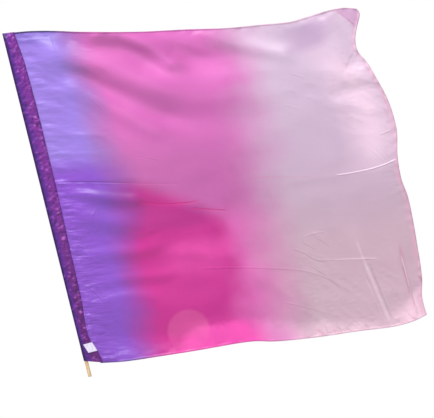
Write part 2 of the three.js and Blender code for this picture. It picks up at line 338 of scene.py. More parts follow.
# Main folds, as lines along their crests: from x, z to x, z, bow, reach to each side, rise to the viewer
folds = metres([
    (-60, 420, 700, 450, -24, 180, 19),  # belly
    (30, 716, 192, 655, 16, 23, 22),  # head ridge
    (190, 708, 262, 680, 0, 10, 2.5),  # short ridge beside it
    (170, 704, 290, 696, 0, 24, 8),  # broad ridge at the head
    (-50, 657, 126, 604, 13.7, 34, 20),  # long diagonal ridge
    (222, 587, 296, 587, 0, 45, 19),  # its level end
    (-78, 577, -44, 572, 0, 16, 3),  # start of the short diagonal ridge
    (-20, 628, 186, 536, 0, 24, -9),  # trough between the two
    (-12, 587, 146, 508, 2, 24, 9),  # short diagonal ridge
    (292, 714, 440, 672, -3, 18, 8.5),  # pale streak
    (420, 634, 560, 620, 0, 30, 3),  # pale ridge below it
    (440, 728, 520, 732, 2, 20, 4),  # head edge ridge
    (552, 712, 566, 640, 6, 24, 6),  # lobe at the upper corner
    (618, 668, 588, 632, 2, 10, -1),  # crease where the bulge starts
    (618, 617, 652, 612, 3, 25, 9),  # bulge
    (572, 578, 640, 589, 0, 13, -2.8),  # hollow under the bulge
    (568, 555.5, 644, 545.5, 4, 14, 3.2),  # rib below that
    (-77, 392, 150, 390, 0, 10, 1),  # storage crease, pole half
    (480, 386, 706, 424, -6, 12, 1.2),  # storage crease, free half
    (-64, 356, 104, 340, 2, 14, 7),  # fold below the crease
    (-36, 305, 130, 283, 4, 24, 9),  # next fold down
    (20, 212, 152, 238, -3, 20, 6.5),  # middle fold
    (232, 218, 318, 214, 2, 19, 3),  # its free end
    (322, 304, 304, 258, 2, 19, -1.4),  # hollow at its end
    (24, 152, 176, 172, 3, 14, 4.5),  # lower ridge
    (58, 117, 150, 125, 3, 12, 2.4),  # thin ridge below it
    (36, 106, 160, 110, 0, 34, 6),  # lower bulge
    (36, 31, 180, 30, 0, 28, -6),  # hollow over the foot, near the pole
    (270, 72, 410, 68, 4, 22, -2.2),  # hollow over the foot, middle
    (110, -28, 770, 74, -14, 30, 8),  # forward foot edge
    (405, 168, 480, 106, 6, 22, 6),  # pale diagonal
    (615, 246, 692, 62, 0, 14, 3),  # sharp pleat
    (706, 204, 742, 98, 0, 13, 3),  # outer pleat
])
# Fine creases that the silk keeps from being folded: the same columns, with sharp crests
creases = metres([
    (-26, 368, 70, 343, 1, 5, 0.5), (-64, 368, -30, 360, 1, 5, 1.2), (443, 590, 486, 580, 3, 5.5, 1.1),
    (492, 604, 528, 599, 2, 4.5, 0.9), (500, 575, 540, 563, -2, 4.5, 0.9),
    (508, 268, 542, 252, 1, 3.5, 0.9), (495, 180, 552, 150, 4, 4, 0.8), (416, 83, 428, 66, 0, 3.5, 1.2),
    (522, 68, 548, 44, 2, 4, -1.2), (546, 62, 566, 44, 0, 3.5, 1.2), (742, 130, 758, 96, 0, 3.6, 2),
    (560, 530, 660, 510, 6, 6, 1), (575, 500, 650, 486, -4, 5, 0.8), (-104, 590, -40, 584, 2, 5.5, 1.6),
    (-92, 552, -46, 546, 0, 5, 1.6), (-76, 486, 63, 484, 2, 6, 2.2), (-70, 448, 30, 444, 0, 6, 2),
    (-40, 430, 32, 418, 3, 11, 3), (10, 582, 58, 552, 0, 5, 1.4), (8, 240, 70, 252, 2, 6, 1.6),
    (90, 252, 168, 274, 2, 6, 1.6), (18, 171, 120, 190, 3, 6, 1.4), (34, 10, 80, -12, 0, 5, 1.2),
    (96, 26, 140, 4, 0, 5, 1),
])
# Short ridges that fan out of an edge, one a step. Lowest and highest are shift, reach, width and height,
# and for the seam a slope.
seamPuckerShape = {
    "seed": 8,
    "steps": (0.015, 0.99, 0.020),
    "lowest": (-0.009, 0.016, 0.0030, 0.0012, -0.30),
    "highest": (0.009, 0.050, 0.0050, 0.0048, 0.10),
    "seamLength": 0.76,
    "widening": 0.08,
}
flyPuckerShape = {
    "seed": 31,
    "steps": (0.352, 0.480, 0.0068),
    "lowest": (-0.002, 0.012, 0.0016, 0.0003),
    "highest": (0.002, 0.040, 0.0028, 0.0009),
    "fanCentre": 0.425,
    "fanning": 9,
    "slopeJitter": 0.15,
    "flattening": 0.7,
    "acrossFrom": (0.40, 0.60),
}
crumpleShape = {
    "lowCorner": {"x": (0.40, 0.56), "z": (0.30, 0.12)},
    "highCorner": {"x": (0.50, 0.62), "z": (0.44, 0.56)},
    "highShare": 0.6,
    "pole": (0.16, 0.0),
    "poleShare": 0.5,
    "depth": 0.0016,
    "swell": 0.0005,
}


def besideLine(x, z, row):
    # Share of the line's length, distance off the bowed line, and distance past its ends
    startX, startZ, endX, endZ, bow = row[:5]
    length = math.hypot(endX - startX, endZ - startZ)
    unitX, unitZ = (endX - startX) / length, (endZ - startZ) / length
    along = (x - startX) * unitX + (z - startZ) * unitZ
    share = np.clip(along / length, 0, 1)
    off = (z - startZ) * unitX - (x - startX) * unitZ - bow * 4 * share * (1 - share)
    return share, off, along - share * length


def ridges(x, z, rows, sharpness):
    # Sum over the rows of rise * exp(-(distance off the bowed line / reach)^2), fading past the ends over
    # twice the reach. A sharp crest takes the distance's first power instead, rounded off near the line.
    total = np.zeros(x.shape)
    for row in rows:
        reach, rise = row[5:]
        share, off, past = besideLine(x, z, row)
        past = past / 2
        if sharpness:
            near = np.sqrt(off ** 2 + (sharpness * reach) ** 2) / reach - sharpness
            total += rise * np.exp(-near - (past / reach) ** 2) * np.sin(math.pi * share) ** 0.6
        else:
            total += rise * np.exp(-(off ** 2 + past ** 2) / reach ** 2)
    return total


def seamPuckers(x, fromSeam, up, shape):
    # Each is a bell over the seam's length, lower up the seam, that widens and fades away from it
    rng = np.random.default_rng(shape["seed"])
    total = np.zeros(x.shape)
    for centre in np.arange(*shape["steps"]):
        place, reach, width, height, slope = rng.uniform(shape["lowest"], shape["highest"])
        off = (up - centre - place) * shape["seamLength"] - slope * fromSeam
        height, width = height * (1.2 - 0.5 * centre), width + shape["widening"] * fromSeam
        total += height * np.exp(-(off / width) ** 2 - (fromSeam / reach) ** 2)
    return total


def flyPuckers(z, fromFly, shape):
    # Inwards from the free edge, on both sides of the storage crease, and steeper further from it
    rng = np.random.default_rng(shape["seed"])
    total = np.zeros(z.shape)
    for level in np.arange(*shape["steps"]):
        place, reach, width, height = rng.uniform(shape["lowest"], shape["highest"])
        slope = (level - shape["fanCentre"]) * shape["fanning"]
        slope = slope + rng.uniform(-shape["slopeJitter"], shape["slopeJitter"])
        lean = slope * shape["flattening"]
        off = (z - level - place - lean * fromFly) / math.hypot(1, lean)
        total += height * np.exp(-(off / width) ** 2 - (fromFly / reach) ** 2)
    return total


def crumple(x, z, shape):
    # Faint flat facets where the silk was packed: folded noise, strongest low down towards the free edge
    low, high = shape["lowCorner"], shape["highCorner"]
    place = smoothStep(*low["x"], x) * smoothStep(*low["z"], z)
    place = place + shape["highShare"] * smoothStep(*high["x"], x) * smoothStep(*high["z"], z)
    place = place + shape["poleShare"] * smoothStep(*shape["pole"], x)
    folded = np.abs(drift(x + z * 0.6, z * 1.6, 0.06, 11)) + 0.5 * np.abs(drift(x, z * 1.8, 0.03, 12))
    return shape["depth"] * place * (0.5 - folded) + shape["swell"] * drift(x, z * 1.5, 0.11, 13)


def silkPatch(shape):
    # The flat outline, filled in: the patch blends the four edges and takes away its corners. Columns crowd
    # where the free part's creases lie, and the outer ones follow the roll of the hem.
    corners = [shape["lowerCorner"], shape["upperCorner"]]
    tuckedSeam = [atRod(along, across - shape["tuck"], 0.0)[[0, 2]] for along, across in seamRows]
    foot = [tuckedSeam[0], *footEdge, corners[0]]
    head = [tuckedSeam[-1], *headEdge, corners[1]]
    fly = [corners[0], *flyEdge, corners[1]]
    width, height = curveLength(foot), curveLength(tuckedSeam)
    hem = np.array(shape["hemColumns"])
    fineShares = np.linspace(0, 1, 2000)
    crowding = np.cumsum(1 + shape["finerBy"] * smoothStep(*shape["finerFrom"], fineShares))
    even = np.interp(np.linspace(crowding[0], crowding[-1], shape["columns"]), crowding, fineShares)
    u = np.concatenate([even[:-1] * (1 - hem[-1] / width), (1 - hem / width)[::-1]])
    rows = np.linspace(hem[-1] / height, 1 - hem[-1] / height, shape["rows"])
    v = np.concatenate([hem / height, rows[1:-1], (1 - hem / height)[::-1]])
    seamLine, flyLine = smoothCurve(tuckedSeam, v)[:, None], smoothCurve(fly, v)[:, None]
    footLine, headLine = smoothCurve(foot, u)[None], smoothCurve(head, u)[None]
    across, up = u[None, :, None], v[:, None, None]
    flat = footLine * (1 - up) + headLine * up + seamLine * (1 - across) + flyLine * across
    flat = flat - (1 - across) * (1 - up) * tuckedSeam[0] - across * (1 - up) * np.array(corners[0])
    flat = flat - (1 - across) * up * tuckedSeam[-1] - across * up * np.array(corners[1])
    fromSeam = np.linalg.norm(flat - seamLine, axis=-1)
    across, up = np.broadcast_arrays(across[..., 0], up[..., 0])
    print("silk cut", round(width, 3), "by", round(height, 3))
    return flat[..., 0], flat[..., 1], across, up, fromSeam, (width, height)


def makeSilk(shape):
    # The depth is the folds, a swing that is a sine growing towards the free edge, the turned corner, and
    # the fine creases and puckers.
    x, z, across, up, fromSeam, (width, height) = silkPatch(shape)
    fromFly = (1 - across) * width
    inFrom = np.minimum(np.minimum(up * height, (1 - up) * height), fromFly)
    swing = shape["swing"]
    free, foldFree, nearSeam = (
        smoothStep(*ramp, fromSeam) for ramp in (swing["from"], shape["foldsFrom"], shape["creasesFrom"])
    )
    wave = swing["depth"] * across * np.sin(2 * math.pi * (swing["waves"] * across + swing["lag"] * up))
    turn = shape["cornerTurn"]
    beyond = besideLine(x, z, turn["line"])[1]
    turned = turn["slope"] * (beyond + np.hypot(beyond, turn["softness"])) / 2
    wobble = shape["wobble"]
    aside, above = (wobble["depth"] * drift(x, z, wobble["wavelength"], seed) for seed in wobble["seeds"])
    belly = ridges(x, z, folds[:1], 0)
    main = ridges(x + aside, z + above, folds[1:], 0)
    fine = ridges(x + aside / 4, z + above / 4, creases, shape["creaseSharpness"])
    fine = fine + crumple(x, z, crumpleShape)
    flyRoom = smoothStep(*flyPuckerShape["acrossFrom"], across)
    puckers = flyPuckers(z, fromFly, flyPuckerShape) * flyRoom
    puckers = seamPuckers(x, fromSeam, up, seamPuckerShape) + puckers
    edge = shape["ripple"]
    ripple = edge["depth"] * np.exp(-inFrom / edge["reach"]) * drift(x, z, edge["wavelength"], edge["seed"])
    depth = free * (belly - turned + wave) + foldFree * main + nearSeam * (puckers + fine + ripple * free)
    middle = np.stack([x, -depth, z], axis=-1)
    bead = np.sqrt(np.clip(1 - ((inFrom / shape["hemWidth"]) * 2 - 1) ** 2, 0, 1))
    uneven = shape["hemUnevenness"]
    bead = bead * (1 + uneven["share"] * drift(x, z, uneven["wavelength"], uneven["seed"]))
    bead = bead * smoothStep(*shape["hemFrom"], fromSeam)
    thickness = shape["thickness"] + (shape["hemDiameter"] - shape["thickness"]) * bead
    values = {"beyondTurn": beyond * 1000}
    # The dyed layers hold painted crease shade, the pale layers painted crease highlights
    for name, rows in (("thin", thinCreases), ("dyed", creaseShadeLines), ("pale", creaseHighlightLines)):
        values.update(lineLayers(x, z, name, rows))
    uv = np.stack([across, up], axis=-1)
    return clothShell("silk_cloth", middle, thickness, uv, values), (width, height)


# Hair-thin creases, which the material draws: from x, z to x, z, bow, half width, and a height from -2 to 2
thinCreases = metres([
    (-66, 380.5, 100, 379.5, 1, 2.8, -1), (80, 379.5, 220, 378.5, -1, 2.6, -0.35),
    (124, 336.5, 262, 340, -6, 2.8, -0.5), (243, 323, 322, 318, 0, 2.8, -0.5),
    (564.5, 396.5, 644, 410.5, -1.5, 3, 0.8), (636, 408.5, 703, 433.5, -2.5, 3, 0.9),
    (262, 187, 480, 184.5, 3.5, 3.4, 0.7), (466, 186, 566, 157, 5, 3.4, 0.8),
    (556, 162, 578, 147, 0, 3.4, 0.6), (493, 247.5, 522, 229.5, 1, 3, 0.6),
    (513, 193.5, 545, 171, 0, 3, 0.6), (527, 184.5, 567, 153, 1, 3, 0.5), (474, 231, 508, 217, 1, 3.2, 0.7),
    (500, 220, 536, 204, -2, 3.2, 0.7), (528, 205, 662, 209.5, 1, 3.2, 0.6),
    (497, 258, 544, 269, 3, 3, 0.5), (520, 260, 556, 237, 0, 3, 0.5), (446, 112, 570, 80, 2, 3.4, 0.6),
    (623, 202, 681, 60, 0, 3, -0.8), (642, 200, 699, 64, 0, 3, -0.9), (716, 198, 745.5, 96, 1, 3, -1.2),
    (648, 454.5, 666, 432, 0, 2.6, 0.4), (657, 459, 681, 432, 0, 2.6, 0.5),
    (670, 457, 690, 435, 0, 2.6, 0.4), (744, 108, 752, 78, 0, 3.2, -1), (728, 90, 744, 74, 1, 3.2, 0.9),
    (700, 76, 716, 64, 0, 3, 0.8), (752, 176, 758.5, 160, 0, 3, 1.4), (2, 150, 53, 103, 4, 3, 0.7),
    (8, 292, 30, 322, 0, 2.8, 0.6), (12, 251, 30, 276, 0, 2.8, 0.5), (-79, 713, -61, 668, 0, 3, 0.3),
    (12, 572, 44, 544, 0, 3, 0.35), (118, 443, 172, 431, 0, 2.6, 0.35), (610, 674, 590, 635, -2, 4, -0.4),
    (563, 767, 606, 733, 2, 3, 0.9), (668, 578, 683, 546, 0, 3, 0.6), (571, 57, 583, 40, 0, 3.2, -1.1),
    (632, 62, 645, 48, 0, 3.2, -1), (539, 64, 550, 45, 1, 3.2, 0.9), (590, 58, 604, 47, 0, 3.2, 0.9),
    (608, 70, 622, 56, 0, 3, -0.8), (674, 552, 688, 518, 0, 3, -0.7), (664, 488, 690, 498, 0, 2.8, 0.6),
    (470, 624, 500, 615, 1, 3, 0.4), (452, 556, 486, 545, 1, 3, 0.4),
], lastIsLength=False)
# Painted shade along creases, as darker deeper pink lines, and painted highlights along crease ridges, as
# pale lines, with a strength from 0 to 1 in the last column
creaseShadeLines = metres([
    (118, 337, 262, 340, -6, 2.4, 0.9), (240, 323, 326, 318, 0, 2.4, 0.8), (360, 392, 520, 394, 0, 4, 0.12),
    (708, 248, 744, 95, -2, 7, 0.24), (567, 764, 604, 736, 2, 2.2, 0.25),
    (755, 170, 759.5, 160, 0, 2.6, 0.5), (524, 50, 540, 38, 1, 3, 0.3), (560, 50, 575, 43, 0, 2.8, 0.25),
], lastIsLength=False)
# Painted highlights along crease ridges
creaseHighlightLines = metres([
    (564.5, 398, 644, 411.5, -1.5, 1.8, 0.6), (632, 408.5, 704, 435, -2.5, 1.8, 0.7),
    (612.5, 252, 640, 180, 0, 4.8, 0.26), (632, 202, 690, 64, 0, 6.5, 0.3), (628, 180, 680, 64, 0, 2, 0.22),
    (712, 220, 742, 96, 1, 2.6, 0.6), (560, 206, 662, 210.5, 1, 2.4, 0.4),
], lastIsLength=False)
lineShape = {
    "layers": {"thin": 5, "dyed": 2, "pale": 3},
    "clear": 0.012,
    "apart": 1.6,
    "fading": 0.12,
    "far": 9.0,
}


def lineLayers(x, z, name, rows):
    # Lines that keep clear of each other share a layer. It holds the distance off the nearest line, in its
    # half widths, and that line's strength, which is 0 away from it and at its ends.
    count = lineShape["layers"][name]
    far = lineShape["far"]
    off, strength, best = (np.full((count, *x.shape), start) for start in (far, 0.0, far))
    taken = np.zeros((count, *x.shape), bool)
    for row in rows:
        share, aside, past = besideLine(x, z, row)
        distance = np.hypot(aside, past)
        crowd = distance < lineShape["apart"] * lineShape["clear"]
        layer = int(np.argmin([(held & crowd).sum() for held in taken]))
        taken[layer] |= crowd
        ends = smoothStep(0, lineShape["fading"], share) * smoothStep(1, 1 - lineShape["fading"], share)
        off[layer] = np.where(distance < best[layer], aside / row[5], off[layer])
        strength[layer] = np.where(distance < lineShape["clear"], row[6] * ends, strength[layer])
        best[layer] = np.minimum(best[layer], distance)
    layers = {f"{name}Off{k}": off[k] for k in range(count)}
    return {**layers, **{f"{name}Strength{k}": strength[k] for k in range(count)}}


silkPiece, silkCut = makeSilk(silkShape)
print("silk made")

labelShape = {
    "length": 0.021,
    "width": 0.020,
    "foot": -0.005,
    "clearance": 0.0013,
    "lift": 0.0016,
    "ribbon": 0.00035,
    "fold": 0.0005,
    "pressed": 0.8,
    "ripple": {"depth": 0.0004, "pitch": 0.0045, "slant": 3},
    "rows": 24,
    "columns": 22,
    "bendColumns": 11,
}


def makeLabel(shape):
    # A ribbon folded in two: the profile runs from the seam to the free edge, round the fold and back, and
    # is carried along the seam. The free edge curls up.
    along = shape["foot"] + np.linspace(0, shape["length"], shape["rows"])[:, None]
    seamAcross = np.interp(along, seamRows[:, 0], seamRows[:, 1])
    run = np.linspace(0, 1, shape["columns"])
    bend = np.linspace(0, math.pi, shape["bendColumns"])[1:-1]
    toFold = np.concatenate([run, 1 + np.sin(bend) * shape["fold"] / shape["width"], run[::-1]])[None, :]
    layer = np.concatenate([np.ones(run.size), np.cos(bend), -np.ones(run.size)])[None, :] * shape["fold"]
    fromSeam = toFold * shape["width"]
    wave = shape["ripple"]
    ripple = wave["depth"] * np.sin(along / wave["pitch"] + wave["slant"] * toFold) * toFold
    out = sleeveFace(fromSeam, seamAcross) + shape["clearance"] + shape["lift"] * toFold ** 2
    out = out + layer * shape["pressed"] + ripple
    middle = atRod(along, seamAcross - fromSeam, out)
    uv = np.stack(np.broadcast_arrays(toFold, (along - shape["foot"]) / shape["length"]), axis=-1)
    ribbon = np.full(middle.shape[:2], shape["ribbon"])
    return clothShell("label_ribbon", middle[:, ::-1], ribbon, uv[:, ::-1])


labelPiece = makeLabel(labelShape)
print("label made")

stitchShape = {
    "rowLength": 0.762,
    "pitch": 0.0034,
    "length": 0.0026,
    "radius": 0.00028,
    "endShare": 0.25,
    "fromLip": 0.0022,
    "lift": 0.00012,
    "dip": 0.0004,
    "sides": 6,
    "rings": 5,
}


def makeStitches(shape):
    # One row on either face of the sleeve, near its lips. Each stitch is a six-sided rod, bent into the
    # cloth: its thickness and height fall with the fourth power of the distance from its middle.
    count = int(shape["rowLength"] / shape["pitch"])
    centre = (np.arange(count) + 0.5) / count
    seam = smoothCurve(seamRows, centre)
    step = smoothCurve(seamRows, np.minimum(centre + 1e-3, 1)) - smoothCurve(seamRows, centre - 1e-3)
    heading = step / np.linalg.norm(step, axis=1, keepdims=True)
    seamAlong, seamAcross = seam.T[:, :, None, None, None]
    headingAlong, headingAcross = heading.T[:, :, None, None, None]
    face = np.array([1, -1])[:, None, None]
    t = np.linspace(-1, 1, shape["rings"])[:, None]
    angle = np.linspace(0, 2 * math.pi, shape["sides"], endpoint=False)
    thick = shape["radius"] * (shape["endShare"] + (1 - shape["endShare"]) * (1 - t ** 4))
    fromMiddle = t * shape["length"] / 2
    along = seamAlong + fromMiddle * headingAlong
    across = seamAcross - shape["fromLip"] + fromMiddle * headingAcross + thick * np.cos(angle) * face
    surface = sleeveFace(shape["fromLip"], seamAcross) + sleeveShape["wall"] / 2
    out = face * (surface + shape["lift"] - shape["dip"] * t ** 4 + thick * np.sin(angle))
    low = np.arange(shape["sides"])[::-1]
    high = np.arange(shape["sides"]) + (shape["rings"] - 1) * shape["sides"]
    caps = np.array([end[half] for half in ([0, 1, 2, 3], [0, 3, 4, 5]) for end in (low, high)])
    oneStitch = np.vstack([tubeFaces(shape["rings"], shape["sides"]), caps])
    starts = np.arange(count * 2)[:, None, None] * shape["rings"] * shape["sides"]
    return makeMesh("sleeve_stitches", atRod(along, across, out), [(oneStitch + starts).reshape(-1, 4)])


stitchPiece = makeStitches(stitchShape)
print("stitches made")


# Materials

class Wire:
    # One socket of a shader. The usual signs add Math nodes to its tree.
    def __init__(self, shade, socket):
        self.shade = shade
        self.socket = socket

    def math(self, operation, *others):
        return self.shade.node("ShaderNodeMath", {"operation": operation}, dict(enumerate((self, *others))))

    def __add__(self, other):
        return self.math("ADD", other)

    __radd__ = __add__

    def __sub__(self, other):
        return self.math("SUBTRACT", other)

    def __rsub__(self, other):
        return self.shade.node("ShaderNodeMath", {"operation": "SUBTRACT"}, {0: other, 1: self})

    def __mul__(self, other):
        return self.math("MULTIPLY", other)

    __rmul__ = __mul__

    def smooth(self, low, high):
        # 0 below low, 1 above high, smooth between; turned round if low is above high
        inputs = {"Value": self, "From Min": low, "From Max": high}
        return self.shade.node("ShaderNodeMapRange", {"interpolation_type": "SMOOTHSTEP"}, inputs)

    def between(self, start, full, fade, end):
        # 1 from full to fade, and 0 outside start and end
        return self.smooth(start, full) * self.smooth(end, fade)

    def other(self, name):
        return Wire(self.shade, self.socket.node.outputs[name])


class Shade:
    # The node tree of a new material or world
    def __init__(self, name, library=bpy.data.materials):
        self.owner = library.new(name)
        self.owner.use_nodes = True
        self.tree = self.owner.node_tree
        self.tree.nodes.clear()

    def node(self, kind, settings=None, inputs=None, output=0):
        made = self.tree.nodes.new(kind)
        for key, value in (settings or {}).items():
            setattr(made, key, value)
        for key, value in (inputs or {}).items():
            if isinstance(value, Wire):
                self.tree.links.new(value.socket, made.inputs[key])
            else:
                made.inputs[key].default_value = value
        return Wire(self, made.outputs[output]) if len(made.outputs) else None

    def cloth(self):
        # The place on the cloth, and its shares along and up
        place = self.node("ShaderNodeUVMap", {"uv_map": "cloth"})
        along = self.node("ShaderNodeSeparateXYZ", None, {0: place})
        return place, along, along.other("Y")

    def attribute(self, name):
        return self.node("ShaderNodeAttribute", {"attribute_name": name}, output="Fac")

    def scaled(self, place, by):
        return self.node("ShaderNodeVectorMath", {"operation": "MULTIPLY"}, {0: place, 1: by})

    def mix(self, factor, first, second, blend="MIX"):
        settings = {"data_type": "RGBA", "blend_type": blend}
        return self.node("ShaderNodeMix", settings, {0: factor, 6: first, 7: second}, output=2)

    def tint(self, factor, colour, by):
        return self.mix(factor, colour, (*by, 1), "MULTIPLY")

    def noise(self, place, scale, detail=2.0, roughness=0.5, kind="FBM"):
        inputs = {"Vector": place, "Scale": scale, "Detail": detail, "Roughness": roughness}
        return self.node("ShaderNodeTexNoise", {"noise_type": kind}, inputs)

    def bands(self, place, direction, scale, distortion, detail=2.0):
        settings = {"wave_type": "BANDS", "bands_direction": direction}
        inputs = {"Vector": place, "Scale": scale, "Distortion": distortion, "Detail": detail}
        return self.node("ShaderNodeTexWave", settings, inputs, output="Fac")

    def bump(self, height, distance, strength=1.0, under=None):
        inputs = {"Height": height, "Distance": distance, "Strength": strength}
        if under is not None:
            inputs["Normal"] = under
        return self.node("ShaderNodeBump", None, inputs)

    def principled(self, colour, roughness, normal, more=None):
        inputs = {"Base Color": colour, "Roughness": roughness, "Normal": normal, **(more or {})}
        return self.node("ShaderNodeBsdfPrincipled", None, inputs)

    def finish(self, shader, kind="ShaderNodeOutputMaterial"):
        self.node(kind, None, {"Surface": shader})
        return self.owner


def paint(*levels):
    # A screen colour from 0 to 255 as the shader's linear light
    shares = [level / 255 for level in levels]
    linear = [s / 12.92 if s <= 0.04045 else ((s + 0.055) / 1.055) ** 2.4 for s in shares]
    return (*linear, 1.0)


def paints(colours):
    return {name: paint(*colour) for name, colour in colours.items()}


def drawLines(shade, name):
    # Sum of the layers' bells: strength times a smooth bell of the distance
    total = None
    for layer in range(lineShape["layers"][name]):
        off = shade.attribute(f"{name}Off{layer}").math("ABSOLUTE")
        bell = off.smooth(1, 0) * shade.attribute(f"{name}Strength{layer}")
        total = bell if total is None else total + bell
    return total


# Dye colours of the silk, and colours of painted shade, painted highlights and painted glare
silkDyesAndPaintedLight = paints({
    "violet": (161, 131, 222),
    "violetHeadShade": (134, 108, 200),
    "violetDeep": (148, 88, 208),
    "pink": (219, 113, 191),
    "pinkPaintedSheen": (240, 130, 210),
    "pinkPaintedShade": (205, 107, 178),
    "pinkLow": (230, 114, 192),
    "pinkDeep": (214, 46, 154),
    "pinkLighterLow": (242, 84, 182),
    "paleTop": (218, 195, 216),
    "pale": (208, 183, 205),
    "paleDeep": (214, 184, 197),
    "footPink": (254, 88, 194),
    "footMauve": (238, 158, 214),
    "footPale": (246, 210, 226),
    "headShade": (192, 162, 196),
    "flyPale": (252, 222, 238),
    "flyRose": (228, 176, 202),
    "cornerShade": (216, 166, 206),
    "paintedGlare": (240, 122, 178),
    "violetHem": (44, 20, 96),
    "pinkHem": (168, 74, 136),
    "paleHem": (214, 164, 190),
    "creaseShadeLine": (214, 30, 132),
    "creaseHighlight": (255, 236, 248),
})
# Painted glare: where the lighter disc sits, and the distances over which its edge fades
glareShape = {"centre": (0.236, 0.0, 0.048), "edge": (0.052, 0.043)}


def bandDyeAndPaintedLight(shade, swatches, along, up, bleed, cloud):
    # Three bands along the cloth, violet, pink and pale, that bleed into each other. Violet and pink are
    # deeper below the middle crease: partly dye, partly painted shade where the cloth turns down from the
    # light. Places are shares of the cloth.
    swell = (up - 0.5) * (up - 0.5)
    violetEdge = 0.176 - 0.07 * swell + bleed * 0.10 + up.between(0.34, 0.46, 0.52, 0.62) * 0.022
    toPink = along.smooth(violetEdge - 0.065, violetEdge + 0.065)
    paleEdge = 0.583 + 0.052 * up * up + 0.030 * up.between(0.79, 0.85, 0.91, 0.95) + bleed * 0.14
    toPale = along.smooth(paleEdge - 0.10, paleEdge + 0.10)
    # Deeper violet lower down: partly dye, partly painted shade of the belly
    violet = shade.mix(up.smooth(0.635, 0.555), swatches["violet"], swatches["violetDeep"])
    # Painted shade: darker violet in a strip along the head
    violet = shade.mix(up.smooth(0.945, 0.975) * 0.8, violet, swatches["violetHeadShade"])
    # Painted shade: the pink darkens down towards the middle, as the belly turns from the light
    pink = shade.mix(up.smooth(0.70, 0.57), swatches["pink"], swatches["pinkPaintedShade"])
    pink = shade.mix(up.smooth(0.48, 0.34), pink, swatches["pinkLow"])
    # Painted highlight: a brighter pink patch where a ridge near the head catches the light
    lit = up.between(0.830, 0.865, 0.890, 0.920) * along.between(0.34, 0.42, 0.56, 0.66)
    pink = shade.mix(lit * 0.5, pink, swatches["pinkPaintedSheen"])
    # Lower down, the deep pink turns lighter in blotches
    lighterLow = along.smooth(0.22, 0.36) * up.between(0.20, 0.28, 0.315, 0.360)
    deep = shade.mix(lighterLow * (0.6 + cloud), swatches["pinkDeep"], swatches["pinkLighterLow"])
    past = (along - 0.22).math("MAXIMUM", 0.0)
    middle = 0.524 - 0.30 * past - 0.9 * past * past + bleed * 0.05
    spread = 0.025 + 0.10 * past
    inside = along.smooth(0.530 + bleed * 0.14, 0.415 + bleed * 0.14)
    # Deep pink below the middle crease: partly dye, partly painted shade where the cloth turns down from
    # the light
    pink = shade.mix(up.smooth(middle + spread, middle - spread) * inside, pink, deep)
    pale = shade.mix(up.smooth(0.64, 0.84), swatches["pale"], swatches["paleTop"])
    pale = shade.mix(up.smooth(0.6, 0.2), pale, swatches["paleDeep"])
    dyed = shade.mix(toPale, shade.mix(toPink, violet, pink), pale)
    mingled = toPink * (1 - toPink) * (2.4 + 1.6 * up.smooth(0.30, 0.42))
    dyed = shade.tint(mingled, dyed, (0.86, 0.94, 0.88))
    # Painted shade under the middle crease, where the cloth turns down from the light
    underCreaseShade = up.between(0.42, 0.47, 0.505, 0.525) * along.between(0.05, 0.14, 0.24, 0.36)
    dyed = shade.tint(underCreaseShade * 0.7, dyed, (0.74, 0.74, 0.76))
    shaded = up.between(0.36, 0.40, 0.43, 0.46) * along.between(0.16, 0.24, 0.39, 0.46)
    dyed = shade.tint(shaded * 0.8, dyed, (0.79, 0.80, 0.86))
    dyed = shade.mix(0.5 + cloud * 0.9, shade.tint(1.0, dyed, (0.92, 0.88, 0.93)), dyed)
    return dyed, toPink, toPale


